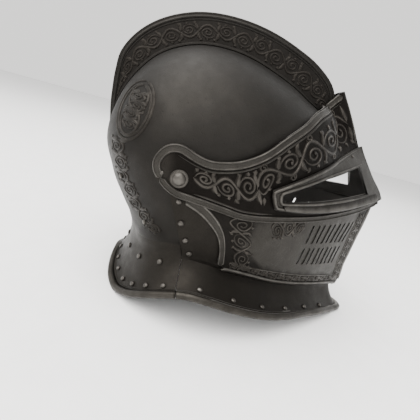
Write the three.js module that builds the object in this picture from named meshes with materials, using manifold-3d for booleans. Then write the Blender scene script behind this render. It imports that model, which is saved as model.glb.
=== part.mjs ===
// Close helmet with a combed skull, a keeled visor, a ventail, a bevor and a flared gorget.
// Millimetres. +Z up, the face looks along -Y, the wearer's left is +X.
// Plates are drawn about the pivot axis: "fore" is forward of it, "up" is above it and
// "side" is the distance from the middle plane, with the head level. The finished
// group is then tipped nose-up until it stands on its rim.
import * as THREE from 'three';
import { mergeVertices } from 'three/addons/utils/BufferGeometryUtils.js';
import Module from 'manifold-3d';

const wasm = await Module();
wasm.setup();

// ---- driving dimensions ----
const REST_TILT_DEG = 15.1;        // nose-up angle that puts the gorget's rim on the ground
const FOOT_TRIM = 0.8;             // height filed off the rim where it touches the ground
const SKULL_HALF_WIDTH = 100;      // outside of the skull at the pivots
const PLATE = 2;                   // sheet thickness
const BEVOR_LEVEL = 2.8;           // outside of each plate beyond the skull's, at the pivots
const VENTAIL_LEVEL = 5.6;
const VISOR_LEVEL = 8.7;
const FRAME_GAP = 0.35;            // between the visor and the eye frame riveted on it
const FRAME_THICKNESS = 2.5;
const KEEL_STRETCH = 1.5;          // a keel's ridge moves this much per unit of wall offset
const COMB_ROOT_HALF = 6;          // half the comb's thickness where it leaves the skull
const COMB_TOP_HALF = 3.4;
const BEAK_CLEARANCE = 4.2;        // visor's beak outside the comb's cheeks
const DOME_FULLNESS = 2.2;         // how square the skull is across
const DOME_EDGE = 0.52;
const HOLLOW = 2.5;                // how tight the hollow is between the skull and its comb
const COMB_LEAST = 0.6;            // thinnest half of the comb's hollow inside
const COMB_OFFSET_SHARE = 0.95;
const COMB_ROUNDING = 4;           // rounding of the comb's top and of the visor's beak
const BEAK_ROUNDING = 9;
const BEAK_FROM = 2;               // degrees above forward where the beak starts and is full
const BEAK_FULL = 14;
const KEEL_FOLD = 0.7;             // share of a keeled plate's reach with the finer rings
const ROLL_RADIUS = 3.6;           // rolled edge round the gorget
const FLANGE = 1.8;                // gorget sheet thickness
const FLARE_SPREAD = 1.35;         // how late the flange spreads and how early it drops
const FLARE_DROP = 1.3;
const SEAM_GAP = 0.5;
const PLATE_LAP = 0.45;            // the rear gorget stands this far off the skull
const PIVOT_HOLE = 4.4;
const PIVOT_SHANK = 4.1;
const PIVOT_HEAD = 6.8;
const BOLT_FLAT = 2.4;             // thickness of the bolt's flat head and of its inner washer
const BOLT_HEIGHT = 4.2;
const BOLT_PLAY = 1.2;
const BOLT_SIDES = 12;
const CROWN_SHARE = 0.72;          // width of the raised middle of the bolt's head
const RIVET_RADIUS = 2.6;
const RIVET_HEIGHT = 1.9;
const SMALL_RIVET_RADIUS = 1.65;
const SMALL_RIVET_HEIGHT = 1.2;
const RIVET_GAP = 0.6;
const RIVET_SIDES = 8;
const RIM_RIVET_SHARE = 0.74;      // how far down the flange its two rows of rivets are
const NECK_RIVET_SHARE = 0.2;
const SLOT_WIDTH = 2.2;            // breath slots in the ventail
const REACH = 320;                 // longer than half of anything in the helmet

const STEEL = { color: 0x504d49, roughness: 0.42, metalness: 0.9 };
const DARK = { color: 0x3a3530, roughness: 0.5, metalness: 0.85 };
const WORN = { color: 0x7a746c, roughness: 0.4, metalness: 0.95 };

const radians = THREE.MathUtils.degToRad;

// Value of a smooth monotone curve through [x, y] pairs.
function curveThrough(pairs) {
  const slope = pairs.slice(1).map((p, i) => (p[1] - pairs[i][1]) / (p[0] - pairs[i][0]));
  const tangent = pairs.map((p, i) => {
    if (i === 0) return slope[0];
    if (i === pairs.length - 1) return slope[i - 1];
    const product = slope[i - 1] * slope[i];
    return product <= 0 ? 0 : (2 * product) / (slope[i - 1] + slope[i]);
  });
  return (x) => {
    if (x <= pairs[0][0]) return pairs[0][1];
    if (x >= pairs.at(-1)[0]) return pairs.at(-1)[1];
    const i = pairs.findIndex((p) => p[0] > x) - 1;
    const h = pairs[i + 1][0] - pairs[i][0];
    const t = (x - pairs[i][0]) / h;
    return (2 * t ** 3 - 3 * t ** 2 + 1) * pairs[i][1] + (t ** 3 - 2 * t ** 2 + t) * h * tangent[i]
      + (3 * t ** 2 - 2 * t ** 3) * pairs[i + 1][1] + (t ** 3 - t ** 2) * h * tangent[i + 1];
  };
}

// ---- middle-plane outlines: distance from the pivot axis by angle above forward ----
const domeRadius = curveThrough([[-90, 150], [-30, 152], [0, 154], [14, 154], [26, 141], [45, 126],
  [65, 118], [80, 113.5], [100, 106], [115, 98], [137, 88], [160, 81], [181, 73], [200, 71.5],
  [217, 75], [228, 84], [240, 108], [250, 126], [270, 150]]);
const combRadius = curveThrough([[8, 154], [18, 168], [25, 173], [34, 168.5], [43, 161.5], [55, 154.5],
  [66, 149.5], [86, 142.5], [103, 135], [118, 123.5], [125, 113], [135, 100], [150, 87], [166, 79]]);
const visorRadius = curveThrough([[-90, 232], [-40, 232], [-20, 230], [-13, 228], [-5, 207], [3, 192.6],
  [9, 187.8], [15, 184.6], [22, 183], [180, 183], [240, 232], [270, 232]]);
const ventailRadius = curveThrough([[-90, 238], [-40, 238], [-33, 228], [-23, 222], [-14, 221.5],
  [180, 221.5], [240, 238], [270, 238]]);
const beakPinch = curveThrough([[0, 1], [20, 2.2]]);

// ---- half-width of each plate at a distance and an angle; offset moves the wall outward ----
function dome(distance, angle, offset) {
  const share = distance / (domeRadius(angle) + offset);
  return share >= 1 ? 0 : (SKULL_HALF_WIDTH + offset) * (1 - share ** DOME_FULLNESS) ** DOME_EDGE;
}

function keel(distance, radius, halfWidth, pinch = 1) {
  return halfWidth * Math.max(0, 1 - (distance / radius) ** 2) ** pinch;
}

function combCheek(distance, angle) {
  const root = domeRadius(angle);
  const top = Math.max(combRadius(angle), root + 1);
  const share = THREE.MathUtils.clamp((distance - root) / (top - root), 0, 1);
  return THREE.MathUtils.lerp(COMB_ROOT_HALF, COMB_TOP_HALF, share);
}

function hasComb(angle) {
  return combRadius(angle) > domeRadius(angle) + 1 && angle > 8 && angle < 166;
}

// The wider of two walls, with a soft hollow where they meet.
function blend(a, b) {
  return (a ** HOLLOW + b ** HOLLOW) ** (1 / HOLLOW);
}

// Rounds a wall over where it ends: size is how far from the end the rounding starts.
function crownOf(distance, top, size) {
  return Math.sqrt(Math.max(0, 1 - Math.max(0, (distance - top + size) / size) ** 2));
}

const skull = {
  edge: (angle, offset) => (hasComb(angle) ? combRadius(angle) : domeRadius(angle)) + offset,
  break: (angle, offset) => domeRadius(angle) + offset,
  half(distance, angle, offset) {
    const round = dome(distance, angle, offset);
    if (!hasComb(angle)) return round;
    const top = this.edge(angle, offset);
    const cheek = Math.max(COMB_LEAST, combCheek(distance, angle) + offset * COMB_OFFSET_SHARE);
    return blend(round, cheek * crownOf(distance, top, COMB_ROUNDING));
  },
};

const visor = {
  edge: (angle, offset) => visorRadius(angle) + KEEL_STRETCH * offset,
  break: (angle, offset) => Math.min(domeRadius(angle) + VISOR_LEVEL + offset,
    visorRadius(angle) + KEEL_STRETCH * offset - BEAK_ROUNDING),
  half(distance, angle, offset) {
    const top = this.edge(angle, offset);
    const wall = keel(distance, top, SKULL_HALF_WIDTH + VISOR_LEVEL + offset, beakPinch(angle));
    const round = dome(distance, angle, VISOR_LEVEL + offset);
    if (angle < BEAK_FROM) return Math.max(wall, round);
    const rise = THREE.MathUtils.smoothstep(angle, BEAK_FROM, BEAK_FULL);
    const cheek = rise * (combCheek(distance, angle) + BEAK_CLEARANCE + offset);
    return blend(Math.max(wall, round), cheek * crownOf(distance, top, BEAK_ROUNDING));
  },
};

function keeledPlate(level, ridgeSet) {
  return {
    edge: (angle, offset) => ventailRadius(angle) - ridgeSet + KEEL_STRETCH * offset,
    break: (angle, offset) => (ventailRadius(angle) - ridgeSet + KEEL_STRETCH * offset) * KEEL_FOLD,
    half(distance, angle, offset) {
      return keel(distance, this.edge(angle, offset), SKULL_HALF_WIDTH + level + offset);
    },
  };
}
const ventail = keeledPlate(VENTAIL_LEVEL, 0);
const bevor = keeledPlate(BEVOR_LEVEL, 4.5);

// ---- solids ----
function place(fore, side, up) {
  return [side, -fore, up];
}

function solidFrom(positions, triangles) {
  let volume = 0;
  const corner = new THREE.Vector3();
  const points = positions.map((p) => new THREE.Vector3(...p));
  for (const [a, b, c] of triangles) volume += points[a].dot(corner.crossVectors(points[b], points[c]));
  const facing = volume > 0 ? triangles : triangles.map(([a, b, c]) => [a, c, b]);
  return new wasm.Manifold(new wasm.Mesh({
    numProp: 3,
    vertProperties: Float32Array.from(positions.flat()),
    triVerts: Uint32Array.from(facing.flat()),
  }));
}

function solidOf(geometry) {
  const bare = geometry.clone();
  bare.deleteAttribute('normal');
  bare.deleteAttribute('uv');
  const merged = mergeVertices(bare, 1e-4);
  const p = merged.attributes.position;
  const positions = Array.from({ length: p.count }, (_, i) => [p.getX(i), p.getY(i), p.getZ(i)]);
  const index = merged.index.array;
  const triangles = [];
  for (let i = 0; i < index.length; i += 3) triangles.push([index[i], index[i + 1], index[i + 2]]);
  return solidFrom(positions, triangles.filter(([a, b, c]) => a !== b && b !== c && c !== a));
}

// Angles of the rays that a plate's body is drawn with, finer round the face.
const RAYS = [];
for (let angle = -90; angle < 32; angle += 4.5) RAYS.push(angle);
for (let angle = 36; angle < 266; angle += 7.8) RAYS.push(angle);
const INNER_RINGS = 6;
const OUTER_RINGS = 5;

// Whole body of a plate: everything inside its outer wall, moved out by offset.
function bodyOf(plate, offset) {
  const positions = [place(0, plate.half(0, 0, offset), 0), place(0, -plate.half(0, 0, offset), 0)];
  const triangles = [];
  const rings = INNER_RINGS + OUTER_RINGS;
  const id = (ray, ring, sign) => {
    const base = 2 + (ray % RAYS.length) * (2 * rings - 1);
    if (ring === rings) return base;
    return base + 1 + (ring - 1) * 2 + (sign < 0 ? 1 : 0);
  };
  for (const angle of RAYS) {
    const edge = plate.edge(angle, offset);
    const fold = Math.min(plate.break(angle, offset), edge - 3);
    const fore = Math.cos(radians(angle));
    const up = Math.sin(radians(angle));
    positions.push(place(edge * fore, 0, edge * up));
    for (let ring = 1; ring < rings; ring += 1) {
      const distance = ring <= INNER_RINGS
        ? fold * Math.sin((ring / INNER_RINGS) * Math.PI / 2)
        : fold + (edge - fold) * Math.sin(((ring - INNER_RINGS) / OUTER_RINGS) * Math.PI / 2);
      const half = Math.max(0.05, plate.half(distance, angle, offset));
      positions.push(place(distance * fore, half, distance * up));
      positions.push(place(distance * fore, -half, distance * up));
    }
  }
  for (let ray = 0; ray < RAYS.length; ray += 1) {
    triangles.push([0, id(ray, 1, 1), id(ray + 1, 1, 1)]);
    triangles.push([1, id(ray + 1, 1, -1), id(ray, 1, -1)]);
    for (let ring = 1; ring < rings; ring += 1) {
      for (const sign of [1, -1]) {
        const quad = [id(ray, ring, sign), id(ray, ring + 1, sign), id(ray + 1, ring + 1, sign),
          id(ray + 1, ring, sign)];
        if (sign < 0) quad.reverse();
        triangles.push([quad[0], quad[1], quad[2]], [quad[0], quad[2], quad[3]]);
      }
    }
  }
  return solidFrom(positions, triangles);
}

// Straight block across the helmet with a side-view outline of [fore, up] points.
function acrossBlock(outline, depth = 2 * REACH) {
  const shape = new THREE.Shape(outline.map(([fore, up]) => new THREE.Vector2(-fore, up)));
  const geometry = new THREE.ExtrudeGeometry(shape, { depth, bevelEnabled: false });
  geometry.translate(0, 0, -depth / 2);
  geometry.applyMatrix4(new THREE.Matrix4().set(0, 0, 1, 0, 1, 0, 0, 0, 0, 1, 0, 0, 0, 0, 0, 1));
  return solidOf(geometry);
}

function pin(radius, from, to, sides = 16) {
  const geometry = new THREE.CylinderGeometry(radius, radius, to - from, sides);
  geometry.rotateZ(Math.PI / 2);
  geometry.translate((from + to) / 2, 0, 0);
  return solidOf(geometry);
}

function shellOf(plate, outline, outer = 0, inner = -PLATE) {
  return bodyOf(plate, outer).subtract(bodyOf(plate, inner)).intersect(acrossBlock(outline));
}

// ---- side-view outlines of the plates, with the head level ----
const SKULL_OUTLINE = [[156, 26], [130, 13], [100, 3], [70, -6], [45, -12], [28, -22], [16, -40],
  [10, -60], [8, -80], [-27, -78], [-43, -78], [-56, -71], [-120, -60], [-120, 200], [200, 200], [200, 40]];
const VISOR_OUTLINE = [[7, -19], [-3, -15], [-11, -9], [-17, -1], [-20.5, 7], [-20, 15], [-14, 23],
  [-6, 27], [4, 26], [15, 19], [24, 14.5], [33, 12.8], [50, 13.2], [69, 18.8], [87, 29], [109, 40.4],
  [116, 45], [124, 49.4], [135, 52.8], [146.5, 56], [153, 60.5], [159, 65], [164, 68],
  [168, 69], [300, 110], [300, -53], [225, -53],
  [205, -53.5], [187, -53], [163, -52], [131, -50], [107, -47], [80, -43], [52, -37.5], [33, -29.5],
  [20, -24]];
const VENTAIL_OUTLINE = [[-14, -2], [-10, -12], [0, -17.5], [14.6, -28], [24.6, -39.4], [31.6, -51.3],
  [33.7, -65.8], [31.5, -80], [39, -89.6], [62.4, -100.8], [89.6, -115], [128, -130.3], [162, -143],
  [181, -153], [300, -190], [300, -49], [205, -49], [187, -47], [163, -44], [131, -41], [107, -38],
  [80, -34], [52, -27], [33, -18], [22, -8], [15, 4], [8, 13], [-5, 14], [-13, 7]];
const BEVOR_OUTLINE = [[-12, -5], [-8.7, -12.1], [-5.7, -30.8], [-1.2, -59.2], [0.3, -71.9],
  [0, -76], [20, -84], [45, -98.5], [70, -111], [98, -125], [125, -135], [150, -145], [178, -157],
  [300, -200], [300, -118], [150, -110], [110, -101], [80, -82], [55, -52], [30, -22], [14, 2],
  [0, 14], [-12, 8]];
const FRAME_OUTLINE = [[77.4, -12.3], [124.5, -1.5], [192, 12], [300, 33], [300, -48], [219, -48],
  [186, -46.1], [145, -43], [114, -38.5], [80.2, -30.3]];
const EYE_OPENING = [[86.9, -17.5], [127.9, -11.4], [188.2, -6.8], [195.8, -35.5], [147.4, -31.8],
  [121.7, -29.6], [105.4, -27.4], [87.3, -24.6]];
// top and bottom of the rearmost and foremost breath slot of each row
const SLOT_ROWS = [
  { count: 5, rear: [[127, -56], [120, -75]], front: [[186, -67], [173.5, -89]] },
  { count: 5, rear: [[119.5, -79.5], [112, -96]], front: [[171.5, -93.5], [163.5, -113.5]] },
];

function slotOutlines() {
  const outlines = [];
  for (const row of SLOT_ROWS) {
    for (let i = 0; i < row.count; i += 1) {
      const share = i / (row.count - 1);
      const top = new THREE.Vector2(...row.rear[0]).lerp(new THREE.Vector2(...row.front[0]), share);
      const low = new THREE.Vector2(...row.rear[1]).lerp(new THREE.Vector2(...row.front[1]), share);
      const along = top.clone().sub(low).normalize();
      const across = new THREE.Vector2(-along.y, along.x).multiplyScalar(SLOT_WIDTH / 2);
      outlines.push([top.clone().add(across), low.clone().add(across), low.clone().sub(across),
        top.clone().sub(across)].map((p) => [p.x, p.y]));
    }
  }
  return outlines;
}

// ---- gorget: a flared flange from the neck to a rolled rim ----
// Half of each line from the middle of the back to the middle of the front: [fore, side, up].
const NECK_REAR = [[-57, 0, -63], [-56, 22, -66], [-52.5, 43, -69], [-44, 63, -71], [-28, 81.5, -71.5],
  [-5, 90, -73], [30, 92, -85], [100, 60, -118], [170, 0, -150]];
const NECK_FRONT = [[-60, 0, -70], [-50, 50, -70], [-28, 84, -71], [-5, 92, -74], [20, 88.8, -82.5],
  [45, 80.8, -97], [70, 70.5, -109.5], [98, 55.5, -123.5], [125, 39.2, -133.5], [150, 21.2, -143.5],
  [174, 0, -154]];
const RIM = [[-77, 0, -99], [-78, 27, -105], [-75, 50, -111], [-67, 69, -115], [-54, 85, -112.5],
  [-39, 97.5, -107.5], [-20, 108.5, -102], [2, 116.5, -99], [22, 117.5, -105], [44, 113, -116],
  [72, 102, -130], [100, 84, -143], [125, 64, -153.5], [150, 42, -165], [170, 21, -175.5], [187, 0, -183.5]];
const FLANGE_COLUMNS = 52;
const FLANGE_ROWS = 4;

function closedLine(half) {
  const near = half.map((p) => new THREE.Vector3(...place(...p)));
  const mirrored = half.slice(1, -1).reverse().map(([fore, side, up]) => place(fore, -side, up));
  const far = mirrored.map((p) => new THREE.Vector3(...p));
  return new THREE.CatmullRomCurve3([...near, ...far], true, 'centripetal');
}
const rimLine = closedLine(RIM);
const neckRearLine = closedLine(NECK_REAR);
const neckFrontLine = closedLine(NECK_FRONT);

// Point of the flange: share 0 is the neck, share 1 the rim.
function flangePoint(neckLine, turn, share) {
  const neck = neckLine.getPointAt(turn);
  const rim = rimLine.getPointAt(turn);
  const spread = share ** FLARE_SPREAD;
  const drop = 1 - (1 - share) ** FLARE_DROP;
  return new THREE.Vector3(THREE.MathUtils.lerp(neck.x, rim.x, spread),
    THREE.MathUtils.lerp(neck.y, rim.y, spread), THREE.MathUtils.lerp(neck.z, rim.z, drop));
}

function flangeNormal(neckLine, turn, share) {
  const step = 0.004;
  const along = flangePoint(neckLine, (turn + step) % 1, share)
    .sub(flangePoint(neckLine, (turn - step + 1) % 1, share));
  const down = flangePoint(neckLine, turn, Math.min(1, share + step))
    .sub(flangePoint(neckLine, turn, Math.max(0, share - step)));
  const normal = along.cross(down).normalize();
  return normal.z < 0 ? normal.negate() : normal;
}

function flangeSolid(neckLine) {
  const positions = [];
  const triangles = [];
  const rows = 2 * (FLANGE_ROWS + 1);
  for (let column = 0; column < FLANGE_COLUMNS; column += 1) {
    const turn = column / FLANGE_COLUMNS;
    for (let row = 0; row <= FLANGE_ROWS; row += 1) {
      positions.push(flangePoint(neckLine, turn, row / FLANGE_ROWS).toArray());
    }
    for (let row = FLANGE_ROWS; row >= 0; row -= 1) {
      const share = row / FLANGE_ROWS;
      const inward = flangeNormal(neckLine, turn, share).multiplyScalar(-FLANGE);
      positions.push(flangePoint(neckLine, turn, share).add(inward).toArray());
    }
  }
  for (let column = 0; column < FLANGE_COLUMNS; column += 1) {
    const next = ((column + 1) % FLANGE_COLUMNS) * rows;
    for (let row = 0; row < rows; row += 1) {
      const a = column * rows + row;
      const b = column * rows + ((row + 1) % rows);
      const c = next + ((row + 1) % rows);
      const d = next + row;
      triangles.push([a, b, c], [a, c, d]);
    }
  }
  return solidFrom(positions, triangles);
}

function rollSolid() {
  const positions = [];
  const triangles = [];
  const sides = 6;
  for (let column = 0; column < FLANGE_COLUMNS; column += 1) {
    const turn = column / FLANGE_COLUMNS;
    const centre = rimLine.getPointAt(turn);
    const along = rimLine.getTangentAt(turn);
    const out = new THREE.Vector3().crossVectors(along, new THREE.Vector3(0, 0, 1)).normalize();
    const up = new THREE.Vector3().crossVectors(out, along).normalize();
    for (let side = 0; side < sides; side += 1) {
      const angle = (side / sides) * 2 * Math.PI;
      positions.push(centre.clone().addScaledVector(out, Math.cos(angle) * ROLL_RADIUS)
        .addScaledVector(up, Math.sin(angle) * ROLL_RADIUS).toArray());
    }
  }
  for (let column = 0; column < FLANGE_COLUMNS; column += 1) {
    const next = ((column + 1) % FLANGE_COLUMNS) * sides;
    for (let side = 0; side < sides; side += 1) {
      const a = column * sides + side;
      const b = column * sides + ((side + 1) % sides);
      const c = next + ((side + 1) % sides);
      const d = next + side;
      triangles.push([a, b, c], [a, c, d]);
    }
  }
  return solidFrom(positions, triangles);
}

const SEAM = [[1, -66], [0, -76], [-3, -88], [-5, -96], [-5, -200]];
const FRONT_REGION = [...SEAM, [REACH, -200], [REACH, -66]];
const REAR_REGION = [...SEAM.map(([fore, up]) => [fore - SEAM_GAP, up]), [-REACH, -200], [-REACH, -60],
  [-20, -60]];

// ---- standing frame: tipped nose-up, on the ground, centred front to back ----
const stand = new THREE.Matrix4().makeRotationX(-radians(REST_TILT_DEG));

function standing(solid) {
  return solid.transform(stand.elements);
}

const roll = rollSolid();
const skullSolid = shellOf(skull, SKULL_OUTLINE).subtract(pin(PIVOT_HOLE, -REACH, REACH));
const rearFlange = flangeSolid(neckRearLine).add(roll).intersect(acrossBlock(REAR_REGION))
  .subtract(bodyOf(skull, PLATE_LAP));
const frontFlange = flangeSolid(neckFrontLine).add(roll).intersect(acrossBlock(FRONT_REGION));
const bevorSolid = shellOf(bevor, BEVOR_OUTLINE).add(frontFlange)
  .subtract(bodyOf(bevor, -PLATE).intersect(acrossBlock(BEVOR_OUTLINE)))
  .subtract(pin(PIVOT_HOLE, -REACH, REACH));
let ventailSolid = shellOf(ventail, VENTAIL_OUTLINE).subtract(pin(PIVOT_HOLE, -REACH, REACH));
for (const outline of slotOutlines()) ventailSolid = ventailSolid.subtract(acrossBlock(outline));
const eyeBlock = acrossBlock(EYE_OPENING);
const visorSolid = shellOf(visor, VISOR_OUTLINE).subtract(eyeBlock)
  .subtract(pin(PIVOT_HOLE, -REACH, REACH));
const frameSolid = shellOf(visor, FRAME_OUTLINE, FRAME_GAP + FRAME_THICKNESS, FRAME_GAP)
  .subtract(eyeBlock);

const lowest = Math.min(...[rearFlange, bevorSolid].map((s) => standing(s).boundingBox().min[2]));
const extent = [skullSolid, rearFlange, bevorSolid, ventailSolid, visorSolid, frameSolid]
  .map((s) => standing(s).boundingBox());
const middle = (Math.min(...extent.map((b) => b.min[1])) + Math.max(...extent.map((b) => b.max[1]))) / 2;
const shift = new THREE.Vector3(0, -middle, -lowest - FOOT_TRIM);

const helmet = new THREE.Group();

function materialOf(look) {
  return new THREE.MeshStandardMaterial(look);
}

function addPiece(name, solid, look) {
  const ground = new THREE.BoxGeometry(4 * REACH, 4 * REACH, REACH);
  ground.translate(0, 0, -REACH / 2);
  const placed = standing(solid).translate(shift.toArray()).subtract(solidOf(ground));
  const mesh = placed.getMesh();
  const geometry = new THREE.BufferGeometry();
  geometry.setAttribute('position', new THREE.BufferAttribute(new Float32Array(mesh.vertProperties), 3));
  geometry.setIndex(new THREE.BufferAttribute(new Uint32Array(mesh.triVerts), 1));
  geometry.computeVertexNormals();
  const piece = new THREE.Mesh(geometry, materialOf(look));
  piece.name = name;
  helmet.add(piece);
}

addPiece('skull', skullSolid, STEEL);
addPiece('rear_gorget', rearFlange, DARK);
addPiece('bevor', bevorSolid, DARK);
addPiece('ventail', ventailSolid, STEEL);
addPiece('visor', visorSolid, STEEL);
addPiece('eye_frame', frameSolid, WORN);

// ---- pivot bolts and rivets ----
function onPlate(plate, level, fore, up, sign) {
  const halfAt = (f, u) => plate.half(Math.hypot(f, u), angleOf(f, u), level);
  const step = 0.5;
  const side = halfAt(fore, up);
  const slopeFore = (halfAt(fore + step, up) - halfAt(fore - step, up)) / (2 * step);
  const slopeUp = (halfAt(fore, up + step) - halfAt(fore, up - step)) / (2 * step);
  const point = new THREE.Vector3(sign * side, -fore, up);
  const normal = new THREE.Vector3(sign, slopeFore, -slopeUp).normalize();
  return { point, normal };
}

function angleOf(fore, up) {
  const angle = THREE.MathUtils.radToDeg(Math.atan2(up, fore));
  return angle < -90 ? angle + 360 : angle;
}

function onFlange(neckLine, turn, share) {
  return { point: flangePoint(neckLine, turn, share), normal: flangeNormal(neckLine, turn, share) };
}

function addRivet(name, { point, normal }, radius = RIVET_RADIUS, height = RIVET_HEIGHT) {
  const profile = [[0, 0], [radius, 0], [radius * 0.7, height * 0.75], [0, height]]
    .map((p) => new THREE.Vector2(...p));
  const geometry = new THREE.LatheGeometry(profile, RIVET_SIDES);
  const turn = new THREE.Quaternion().setFromUnitVectors(new THREE.Vector3(0, 1, 0), normal);
  geometry.applyQuaternion(turn);
  const seat = point.clone().addScaledVector(normal, RIVET_GAP);
  geometry.translate(...seat.toArray());
  addPiece(name, solidOf(geometry), WORN);
}

const SIDES = [['right', -1], ['left', 1]];
for (const [label, sign] of SIDES) {
  const outside = SKULL_HALF_WIDTH + VISOR_LEVEL + FRAME_GAP;
  const inside = SKULL_HALF_WIDTH - PLATE - BOLT_PLAY;
  const flatHead = pin(PIVOT_HEAD, outside, outside + BOLT_FLAT, BOLT_SIDES);
  const crown = pin(PIVOT_HEAD * CROWN_SHARE, outside, outside + BOLT_HEIGHT, BOLT_SIDES);
  const shank = pin(PIVOT_SHANK, inside - BOLT_FLAT / 2, outside + BOLT_FLAT / 2);
  const washer = pin(PIVOT_HEAD, inside - BOLT_FLAT, inside, BOLT_SIDES);
  const bolt = flatHead.add(crown).add(shank).add(washer);
  addPiece(`pivot_bolt_${label}`, sign > 0 ? bolt : bolt.mirror([1, 0, 0]), WORN);
  const frameFace = FRAME_GAP + FRAME_THICKNESS + FRAME_GAP;
  addRivet(`visor_rivet_${label}`, onPlate(visor, 0, -13.3, 4.7, sign), SMALL_RIVET_RADIUS,
    SMALL_RIVET_HEIGHT);
  addRivet(`frame_rivet_${label}`, onPlate(visor, frameFace, 177, 4, sign), SMALL_RIVET_RADIUS,
    SMALL_RIVET_HEIGHT);
  [[-0.7, -20.2], [0.2, -39.8], [3.4, -56.7], [6.2, -70.5]].forEach(([fore, up], i) => {
    addRivet(`bevor_rivet_${label}_${i + 1}`, onPlate(bevor, 0, fore, up, sign));
  });
  [[-52.8, -4.5], [-32.5, -43.8]].forEach(([fore, up], i) => {
    addRivet(`skull_rivet_${label}_${i + 1}`, onPlate(skull, 0, fore, up, sign));
  });
}

// Lining rivets run round the rim and along the neck of the gorget at even turns of its line.
const halfTurn = (label, share) => (label === 'left' ? share / 2 : 1 - share / 2);
const RIM_RIVETS_REAR = [0.035, 0.085, 0.135, 0.185, 0.235, 0.285, 0.335];
const RIM_RIVETS_FRONT = [0.425, 0.515, 0.605, 0.695, 0.785, 0.875];
const NECK_RIVETS = [0.06, 0.14, 0.22, 0.3];
for (const [label] of SIDES) {
  RIM_RIVETS_REAR.forEach((share, i) => {
    addRivet(`rear_rim_rivet_${label}_${i + 1}`,
      onFlange(neckRearLine, halfTurn(label, share), RIM_RIVET_SHARE));
  });
  RIM_RIVETS_FRONT.forEach((share, i) => {
    addRivet(`front_rim_rivet_${label}_${i + 1}`,
      onFlange(neckFrontLine, halfTurn(label, share), RIM_RIVET_SHARE));
  });
  NECK_RIVETS.forEach((share, i) => {
    addRivet(`neck_rivet_${label}_${i + 1}`,
      onFlange(neckRearLine, halfTurn(label, share), NECK_RIVET_SHARE));
  });
}

export default helmet;
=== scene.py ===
"""Close helmet: the looks of its steel plates, their raised scrollwork, mouldings and rivets."""

import bisect
import math

import bpy
from mathutils import Matrix, Vector


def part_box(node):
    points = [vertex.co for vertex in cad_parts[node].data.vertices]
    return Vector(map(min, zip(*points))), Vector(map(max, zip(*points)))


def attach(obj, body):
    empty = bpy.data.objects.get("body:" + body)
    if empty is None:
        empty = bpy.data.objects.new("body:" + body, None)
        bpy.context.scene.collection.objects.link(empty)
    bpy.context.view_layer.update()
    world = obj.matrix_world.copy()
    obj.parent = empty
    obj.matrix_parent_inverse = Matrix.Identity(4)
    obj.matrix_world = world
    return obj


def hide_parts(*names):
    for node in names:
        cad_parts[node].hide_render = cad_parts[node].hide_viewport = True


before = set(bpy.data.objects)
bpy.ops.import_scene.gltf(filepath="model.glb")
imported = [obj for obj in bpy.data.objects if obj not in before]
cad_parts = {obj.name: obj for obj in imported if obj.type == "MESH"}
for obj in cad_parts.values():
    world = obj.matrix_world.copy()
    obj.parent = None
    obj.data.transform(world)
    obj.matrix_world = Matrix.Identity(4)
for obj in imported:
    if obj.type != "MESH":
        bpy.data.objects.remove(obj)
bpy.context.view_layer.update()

# ---- the head-level frame of the plates, in millimetres about the pivot axis ----
TILT = math.radians(15.1)
SKULL_HALF = 100.0
PLATE = 2.0
BEVOR_LEVEL, VENTAIL_LEVEL, VISOR_LEVEL = 2.8, 5.6, 8.7
FRAME_FOOT, FRAME_FACE = 0.35, 2.6
KEEL_STRETCH = 1.5
COMB_ROOT, COMB_TOP = 6.0, 3.4
BEAK_CLEARANCE = 4.2
HOLLOW = 2.5
DOME_POWER, DOME_ROOT = 2.2, 0.52
CHEEK_LEAST, CHEEK_GROWTH = 0.6, 0.95
COMB_ROUND, BEAK_ROUND = 4, 9
BEAK_FROM, BEAK_BLEND = 2, 12
LEAST_HALF = 0.05
LEAST_FOLD_GAP = 3
ROLL = 3.45
# painted highlight: the whole rolled rim is tinted lighter to stand in for overhead light on its upper face
ROLL_SHEEN = 0.85
FLANGE = 1.8
REACH = 320.0
BOX_MARGIN = 0.05

bolt_low, bolt_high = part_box("pivot_bolt_right")
PIVOT = Vector((0, (bolt_low.y + bolt_high.y) / 2, (bolt_low.z + bolt_high.z) / 2))
STAND = Matrix.Translation(PIVOT) @ Matrix.Rotation(-TILT, 4, "X") @ Matrix.Scale(0.001, 4)


def hermite(t, h, start, end, start_slope, end_slope):
    """Cubic from start to end over a length h, at share t."""
    return ((2 * t ** 3 - 3 * t ** 2 + 1) * start + (t ** 3 - 2 * t ** 2 + t) * h * start_slope
            + (3 * t ** 2 - 2 * t ** 3) * end + (t ** 3 - t ** 2) * h * end_slope)


def curve_through(pairs):
    """Smooth curve through (x, y) pairs that never overshoots them."""
    xs = [p[0] for p in pairs]
    ys = [p[1] for p in pairs]
    slope = [(ys[i + 1] - ys[i]) / (xs[i + 1] - xs[i]) for i in range(len(xs) - 1)]
    tangent = [slope[0]]
    for before, after in zip(slope, slope[1:]):
        product = before * after
        tangent.append(0 if product <= 0 else 2 * product / (before + after))
    tangent.append(slope[-1])

    def value(x):
        if x <= xs[0]:
            return ys[0]
        if x >= xs[-1]:
            return ys[-1]
        i = bisect.bisect_right(xs, x) - 1
        h = xs[i + 1] - xs[i]
        t = (x - xs[i]) / h
        return hermite(t, h, ys[i], ys[i + 1], tangent[i], tangent[i + 1])
    return value


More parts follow.
